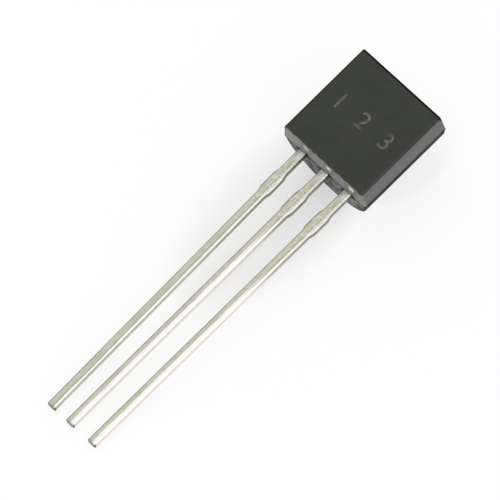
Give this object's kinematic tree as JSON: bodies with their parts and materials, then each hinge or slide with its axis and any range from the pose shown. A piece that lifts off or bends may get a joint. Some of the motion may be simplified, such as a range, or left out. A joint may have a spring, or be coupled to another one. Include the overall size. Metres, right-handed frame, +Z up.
{
  "type": "to-92 transistor",
  "caption": "Small D-shaped moulded transistor with a flat front and straight tinned leads, lying on its round back; it switches or amplifies current on a circuit board.",
  "frame": {"origin": "under the middle of the whole part, on the surface that it lies on", "axes": "+Z up as it lies on its round back and lead tips; +Y from the lead tips to the body; +X from the emitter lead to the collector lead"},
  "size_m": [0.0046, 0.019, 0.004],
  "materials": {
    "moulding_compound": "satin",
    "tinned_strip": "satin",
    "chip_solder": "matte",
    "silicon": "gloss",
    "gold_wire": "gloss"
  },
  "bodies": {
    "root": {"moulded_body": "moulding_compound", "emitter_lead": "tinned_strip", "base_lead": "tinned_strip", "collector_lead": "tinned_strip", "chip_solder": "chip_solder", "transistor_chip": "silicon", "emitter_wire": "gold_wire", "base_wire": "gold_wire"}
  },
  "joints": []
}
